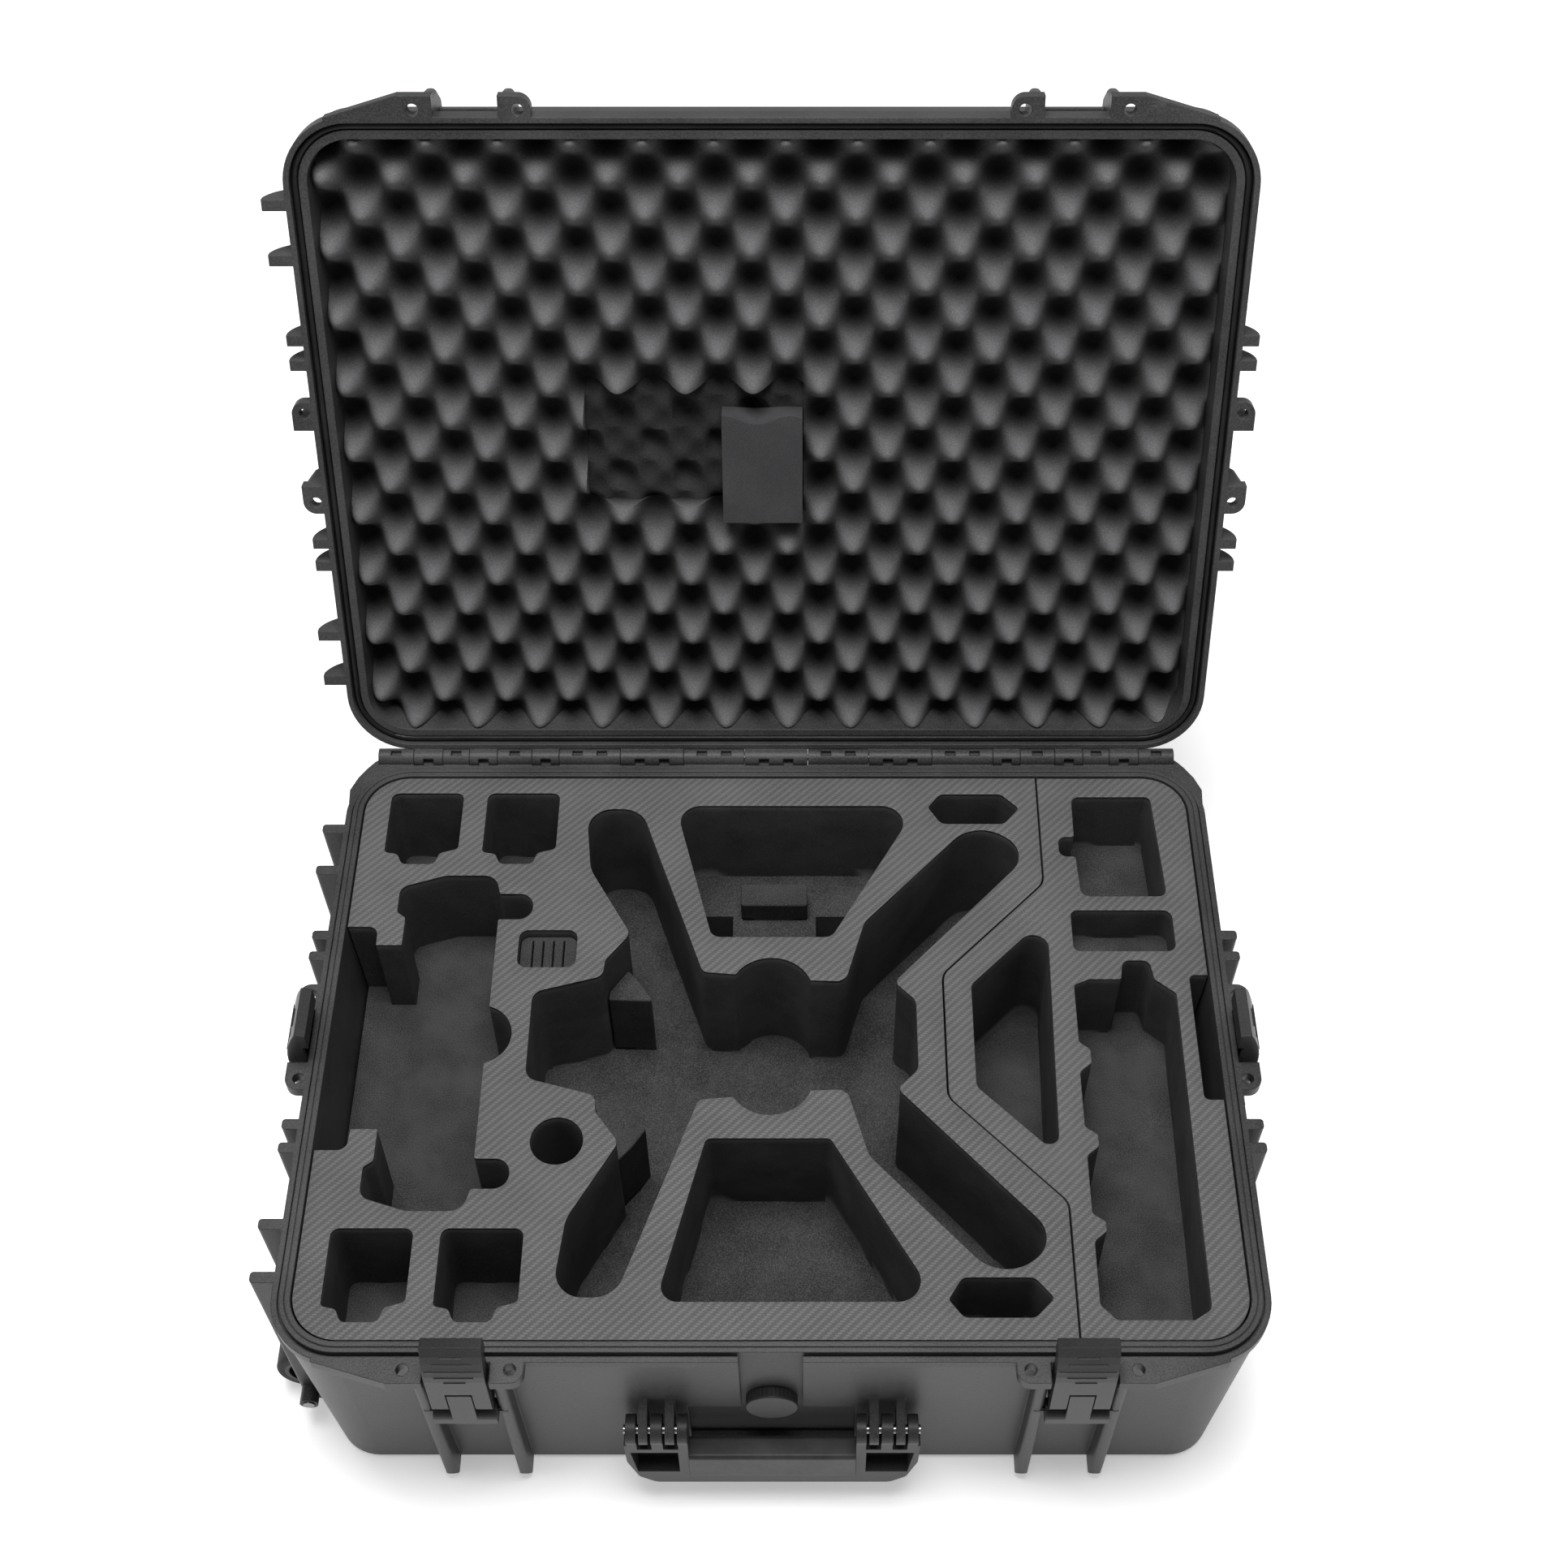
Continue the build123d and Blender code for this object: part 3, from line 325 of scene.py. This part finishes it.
def egg_crate_foam(name, dark, light):
    """Open-cell foam, darker in its valleys than at its tips: painted shade in the valleys and painted light on
    the tips.
    """
    s = Shader(name, roughness=0.98)
    s.bsdf.inputs["Specular IOR Level"].default_value = 0.12
    pores = s.noise(1100.0, 2.0, 0.8)
    coarse = s.noise(420.0, 3.0, 0.75)
    s.bump(s.math("ADD", pores, coarse), 0.0005, 0.7)
    dots = s.spread(pores, 0.40, 0.66, -0.16, 0.24)
    # painted shade and light: the tone follows the foam's height, dark in the valleys, light at the tips
    rise = s.spread(s.attribute("rise"), 0.02, 0.95, 0.06, 0.86)
    tone = s.math("ADD", rise, s.math("MULTIPLY", dots, s.math("ADD", rise, 0.12)), clamp=True)
    return s.done(s.mix(tone, dark, light))


SHELL = (grey(0.018, 0.0184), grey(0.064, 0.065), 0.44)
LATCH = (grey(0.013, 0.0135), grey(0.036, 0.037), 0.38)
HANDLE = (grey(0.016, 0.017), grey(0.040, 0.041), 0.44)
KNOB = (grey(0.012, 0.013), grey(0.034, 0.035), 0.42)
shell_plastic = moulded_plastic("shell_plastic", *SHELL, edge=0.0013)
lid_plastic = moulded_plastic("lid_plastic", *SHELL, edge=0.0013)
latch_plastic = moulded_plastic("latch_plastic", *LATCH, grain=1300.0, depth=0.0001)
handle_plastic = moulded_plastic("handle_plastic", *HANDLE, grain=1200.0, depth=0.00012)
knob_plastic = moulded_plastic("knob_plastic", *KNOB, grain=1200.0, depth=0.0001)
grip_rubber = soft_rubber("grip_rubber", grey(0.020, 0.021), grey(0.036, 0.037), 0.46)
gasket_rubber = soft_rubber("gasket_rubber", grey(0.006, 0.006), grey(0.012, 0.012), 0.34)
tyre_rubber = soft_rubber("tyre_rubber", grey(0.012, 0.012), grey(0.030, 0.030), 0.62, 420.0, 0.0002)
pin_steel = drawn_steel("pin_steel", grey(0.16, 0.165), grey(0.30, 0.31))
black_steel = drawn_steel("black_steel", grey(0.020, 0.021), grey(0.045, 0.047))
wall_foam = cut_foam("wall_foam", grey(0.030, 0.0305), grey(0.095, 0.097), 0.30, streak=0.6)
floor_foam = cut_foam("floor_foam", grey(0.014, 0.015), grey(0.070, 0.072), 0.75)
edge_foam = cut_foam("edge_foam", grey(0.014, 0.015), grey(0.060, 0.062), 0.50)
laminate = twill_laminate("laminate", grey(0.022, 0.0225), grey(0.140, 0.142))
crate_foam = egg_crate_foam("crate_foam", grey(0.008, 0.0084), grey(0.105, 0.108))
smooth_foam = cut_foam("smooth_foam", grey(0.030, 0.032), grey(0.062, 0.064), 0.45)

slot_materials = {
    "shell_plastic": shell_plastic,
    "lid_plastic": lid_plastic,
    "latch_plastic": latch_plastic,
    "handle_plastic": handle_plastic,
    "knob_plastic": knob_plastic,
    "grip_rubber": grip_rubber,
    "gasket_rubber": gasket_rubber,
    "tyre_rubber": tyre_rubber,
    "pin_steel": pin_steel,
    "tray_foam": wall_foam,
    "skin_laminate": laminate,
    "block_foam": floor_foam,
    "lid_foam": crate_foam,
}
for entry in frame["record"]["subparts"]:
    node = nodes[entry["node"]]
    if not node.material_slots:
        node.data.materials.append(None)
    material = slot_materials[entry["material_slot"]]
    if entry["node"].startswith(("latch_pins", "lever_pin")):
        material = black_steel
    for place in node.material_slots:
        place.material = material


# ------------------------------------------------------------------ foam pieces
WELD = 0.00002        # vertices nearer than this are one
LEVEL = 0.00005       # heights nearer than this are level


def new_piece(name, mesh, body):
    piece = bpy.data.objects.new(name, mesh)
    scene.collection.objects.link(piece)
    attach(piece, body)
    return piece


def merged_copy(node_name):
    """A welded copy of a CAD node's mesh, its flat faces rid of needless edges."""
    bm = bmesh.new()
    bm.from_mesh(nodes[node_name].data)
    bmesh.ops.remove_doubles(bm, verts=bm.verts, dist=WELD)
    bmesh.ops.dissolve_limit(bm, angle_limit=math.radians(0.5), verts=bm.verts, edges=bm.edges)
    return bm


def slice_grid(bm, axis, low, high, step):
    """Cuts the mesh at even steps along one axis, so that its large faces can bend."""
    normal = Vector((0.0, 0.0, 0.0))
    normal[axis] = 1.0
    clear_of_edges = 0.00013
    place = math.ceil(low / step) * step
    while place < high:
        point = normal * (place + clear_of_edges)
        everything = bm.verts[:] + bm.edges[:] + bm.faces[:]
        bmesh.ops.bisect_plane(bm, geom=everything, plane_co=point, plane_no=normal)
        place += step


def finish_mesh(bm, name, angle=40.0):
    mesh = bpy.data.meshes.new(name)
    bm.normal_update()
    bm.to_mesh(mesh)
    bm.free()
    mesh.shade_smooth()
    mesh.set_sharp_from_angle(angle=math.radians(angle))
    return mesh


def paint_by_normal(mesh, upward, sideways):
    mesh.materials.clear()
    mesh.materials.append(upward)
    mesh.materials.append(sideways)
    for face in mesh.polygons:
        face.material_index = 0 if face.normal.z > 0.35 else 1


def wobble(point, scale, amount):
    """A smooth, repeatable offset for soft material."""
    p = point * scale
    elsewhere = (Vector((0, 0, 0)), Vector((31.7, 0, 0)), Vector((0, 57.3, 0)))
    return Vector([noise.noise(p + away) for away in elsewhere]) * amount


def is_rim(edge, top):
    """Whether the edge is a sharp one that lies level in the top face."""
    a, b = [v.co.z for v in edge.verts]
    sharp = len(edge.link_faces) == 2 and edge.calc_face_angle(0.0) > 0.9
    return sharp and max(a, b) > top - LEVEL and abs(a - b) < LEVEL


def foam_block(name, node_name, body, materials, step=0.012, roll=0.0008, amount=0.00035):
    """The foam a CAD solid stands for: rims softened by roll, faces uneven by amount."""
    bm = merged_copy(node_name)
    low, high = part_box(node_name)
    rims = [e for e in bm.edges if is_rim(e, high.z)]
    bmesh.ops.bevel(bm, geom=rims, offset=roll, segments=2, profile=0.5, affect="EDGES",
                    clamp_overlap=True)
    for axis in (0, 1, 2):
        slice_grid(bm, axis, low[axis], high[axis], step)
    still = 0.01          # height over which the foot of the block stays put
    for v in bm.verts:
        shift = wobble(v.co, 22.0, amount)
        share = min(v.co.z - low.z, still) / still
        v.co += Vector((shift.x * share, shift.y * share, min(shift.z, 0.0)))
    piece = new_piece(name, finish_mesh(bm, name), body)
    paint_by_normal(piece.data, *materials)
    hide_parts(node_name)


CORE = (floor_foam, wall_foam)
SKIN = (laminate, edge_foam)
STEP = (floor_foam, edge_foam)
for prefix, body in (("main_tray", "base"), ("charging_tray", "charging_insert")):
    foam_block(prefix + "_foam", prefix, body, CORE)
    foam_block(prefix + "_laminate", prefix + "_skin", body, SKIN,
               roll=0.0006, amount=0.00025)
for node_name in ("rear_pocket_block", "rear_arm_step", "front_arm_step", "card_holder"):
    foam_block(node_name + "_foam", node_name, "base", STEP,
               step=0.008, roll=0.0012, amount=0.0003)

# ------------------------------------------------------------------ lid foam
lid_joint = [j for j in frame["joints"] if j["name"] == "lid_hinge"][0]
hinge = Vector(lid_joint["pos_m"])
open_turn = Matrix.Rotation(math.radians(-lid_joint["range_deg"][1]), 3, "X")


def opened(point):
    """A point of the shut lid, carried to where the lid stands open."""
    return hinge + open_turn @ (Vector(point) - hinge)


def shut(point):
    """A point where the lid stands open, carried back to the shut lid."""
    return hinge + open_turn.inverted() @ (Vector(point) - hinge)


shut_points = np.array([shut(v.co) for v in nodes["lid_foam"].data.vertices])
foam_low, foam_high = shut_points.min(0), shut_points.max(0)
plug_points = np.array([shut(v.co) for v in nodes["lid_foam_plug"].data.vertices])
plug_low, plug_high = plug_points.min(0), plug_points.max(0)

PITCH_X = 47.4 * MM                 # between tips of one row
PITCH_Y = 24.8 * MM                 # between rows, each half a pitch aside
FIRST_X = -14.3 * MM
FIRST_FROM_HINGE = -7.05 * MM
CRATE_DEPTH = 33.0 * MM             # from tip to valley
CORNER = 29.0 * MM                  # corner radius of the slab
CUT_X = (-134.0 * MM, 21.0 * MM)
CUT_Y = (-47.0 * MM, 44.0 * MM)
PLUG_CUT_X = (-37.5 * MM, 21.0 * MM)
PLUG_CUT_Y = (-47.0 * MM, 52.0 * MM)
CUT_DEPTH = 22.0 * MM
CUT_WAVE = 3.0 * MM                 # unevenness of the cut-out's floor
SIDE_GAP = 0.2 * MM                 # kept inside the CAD slab
CUT_GAP = 0.12 * MM                 # half width of a cut's steep side
flange_edge_y = hinge.y - 7.5 * MM


def crate_rise(x, y):
    """Height of the egg-crate face, 0 in a valley and 1 at a tip."""
    from_hinge = flange_edge_y - y
    across = math.cos(2 * math.pi * (x - FIRST_X) / PITCH_X)
    along = math.cos(math.pi * (from_hinge - FIRST_FROM_HINGE) / PITCH_Y)
    rise = 0.5 + 0.5 * (across * along)
    return rise ** 1.3


def inside(x, y, x_range, y_range):
    return x_range[0] < x < x_range[1] and y_range[0] < y < y_range[1]


def corner_scale(y, half_x, low_y, high_y):
    """Share of the half width left at y, so that the slab's corners are round."""
    depth = min(y - low_y, high_y - y)
    if depth >= CORNER:
        return 1.0
    reach = CORNER - math.sqrt(max(CORNER ** 2 - (CORNER - depth) ** 2, 0.0))
    return (half_x - reach) / half_x


def spaced(low, high, step, marks, ends=0.0):
    """Evenly spaced places that also fall just either side of the marks."""
    places = list(np.linspace(low, high, int(round((high - low) / step)) + 1))
    for mark in marks:
        places = [p for p in places if abs(p - mark) > 0.6 * step] + [mark - CUT_GAP, mark + CUT_GAP]
    if ends > 0.0:
        for share in (0.02, 0.06, 0.12, 0.2, 0.32, 0.46, 0.62, 0.8):
            places += [low + ends * share, high - ends * share]
    places = sorted(places)
    kept = [places[0]]
    for p in places[1:]:
        if p - kept[-1] > 0.0001:
            kept.append(p)
    return kept


def rim_of(rows, columns):
    """The outer places of a grid, in order, as pairs with the place that follows."""
    ring = [(0, i) for i in range(columns)] + [(j, columns - 1) for j in range(1, rows)]
    ring += [(rows - 1, i) for i in range(columns - 2, -1, -1)]
    ring += [(j, 0) for j in range(rows - 2, 0, -1)]
    return list(zip(ring, ring[1:] + ring[:1]))


def egg_crate():
    """The lid's foam slab: peaks and valleys in front, the cut-out, and a flat back."""
    half_x = foam_high[0] - SIDE_GAP
    low_y, high_y = foam_low[1] + SIDE_GAP, foam_high[1] - SIDE_GAP
    tip_z = foam_low[2]
    back_z = foam_high[2]
    xs = spaced(-half_x, half_x, 0.0026, CUT_X + PLUG_CUT_X[:1])
    ys = spaced(low_y, high_y, 0.0024, CUT_Y + PLUG_CUT_Y[1:], CORNER)
    bm = bmesh.new()
    # the rise layer carries each vertex's painted shade and painted light, read by the crate_foam material
    layer = bm.verts.layers.float.new("rise")
    front, back = [], []
    for y in ys:
        scale = corner_scale(y, half_x, low_y, high_y)
        row, back_row = [], []
        for x in xs:
            real_x = x * scale
            in_cut = inside(x, y, CUT_X, CUT_Y) or inside(x, y, PLUG_CUT_X, PLUG_CUT_Y)
            rise = crate_rise(real_x, y)
            face_z = tip_z + CRATE_DEPTH * (1.0 - rise)
            if in_cut:
                small = 0.5 + 0.5 * math.sin(real_x * 260.0) * math.sin(y * 250.0)
                z = max(tip_z + CUT_DEPTH, face_z) + CUT_WAVE * (1.0 - small)
                # painted shade: the recessed cut-out's floor is dark, lighter where its wave stands high
                tone = 0.10 + 0.16 * small
            else:
                jitter = noise.noise(Vector((real_x * 40.0, y * 40.0, 0.0))) * 0.0008
                z = face_z + abs(jitter) * 0.6
                # painted shade in the valleys and painted light on the tips, taken from the height
                tone = rise
            v = bm.verts.new(opened((real_x, y, z)))
            v[layer] = tone
            row.append(v)
            w = bm.verts.new(opened((real_x, y, back_z)))
            # painted shade: the flat back gets a dark tone
            w[layer] = 0.1
            back_row.append(w)
        front.append(row)
        back.append(back_row)
    rows, columns = len(ys), len(xs)
    for j in range(rows - 1):
        for i in range(columns - 1):
            bm.faces.new((front[j][i], front[j + 1][i], front[j + 1][i + 1], front[j][i + 1]))
    rim = rim_of(rows, columns)
    for (j, i), (l, k) in rim:
        bm.faces.new((front[j][i], front[l][k], back[l][k], back[j][i]))
    bm.faces.new([back[j][i] for (j, i), _ in rim])
    inner = [w for j in range(1, rows - 1) for w in back[j][1:-1]]
    bmesh.ops.delete(bm, geom=inner, context="VERTS")
    bmesh.ops.recalc_face_normals(bm, faces=bm.faces)
    return finish_mesh(bm, "lid_foam_crate", 50.0)


crate = new_piece("lid_foam_crate", egg_crate(), "lid")
crate.data.materials.append(crate_foam)
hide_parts("lid_foam")


def plug_mesh():
    """The piece cut out of the foam, stood on edge: smooth cut faces and one wavy face."""
    bm = bmesh.new()
    low, high = plug_low + 0.0003, plug_high - 0.0003
    xs = np.linspace(low[0], high[0], 40)
    zs = np.linspace(low[2], high[2], 14)
    top, bottom = [], []
    for z in zs:
        top_row, bottom_row = [], []
        for x in xs:
            across = math.cos(2 * math.pi * (x - FIRST_X - 0.002) / PITCH_X)
            wave = 0.5 + 0.5 * across * math.cos((z - low[2]) * 60.0)
            y = low[1] + 0.0065 * wave
            top_row.append(bm.verts.new(opened((x, y, z))))
            bottom_row.append(bm.verts.new(opened((x, high[1], z))))
        top.append(top_row)
        bottom.append(bottom_row)
    rows, columns = len(zs), len(xs)
    for j in range(rows - 1):
        for i in range(columns - 1):
            bm.faces.new((top[j][i], top[j][i + 1], top[j + 1][i + 1], top[j + 1][i]))
            bm.faces.new((bottom[j][i], bottom[j + 1][i], bottom[j + 1][i + 1], bottom[j][i + 1]))
    for (j, i), (l, k) in rim_of(rows, columns):
        bm.faces.new((top[j][i], bottom[j][i], bottom[l][k], top[l][k]))
    bmesh.ops.recalc_face_normals(bm, faces=bm.faces)
    return finish_mesh(bm, "lid_foam_offcut", 40.0)


plug = new_piece("lid_foam_offcut", plug_mesh(), "lid")
plug.data.materials.append(smooth_foam)
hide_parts("lid_foam_plug")

# ------------------------------------------------------------------ floor
FLOOR_GLOW = 0.34
bm = bmesh.new()
bmesh.ops.create_grid(bm, x_segments=8, y_segments=8, size=6.0)
floor_mesh = bpy.data.meshes.new("studio_floor")
bm.to_mesh(floor_mesh)
bm.free()
floor = bpy.data.objects.new("studio_floor", floor_mesh)
floor.location = (0.0, 0.0, cad_box[0].z)
scene.collection.objects.link(floor)
pale = Shader("studio_paint", (0.93, 0.93, 0.93), 0.9)
pale.bsdf.inputs["Emission Color"].default_value = (1.0, 1.0, 1.0, 1.0)
pale.bsdf.inputs["Emission Strength"].default_value = FLOOR_GLOW
floor_mesh.materials.append(pale.done())
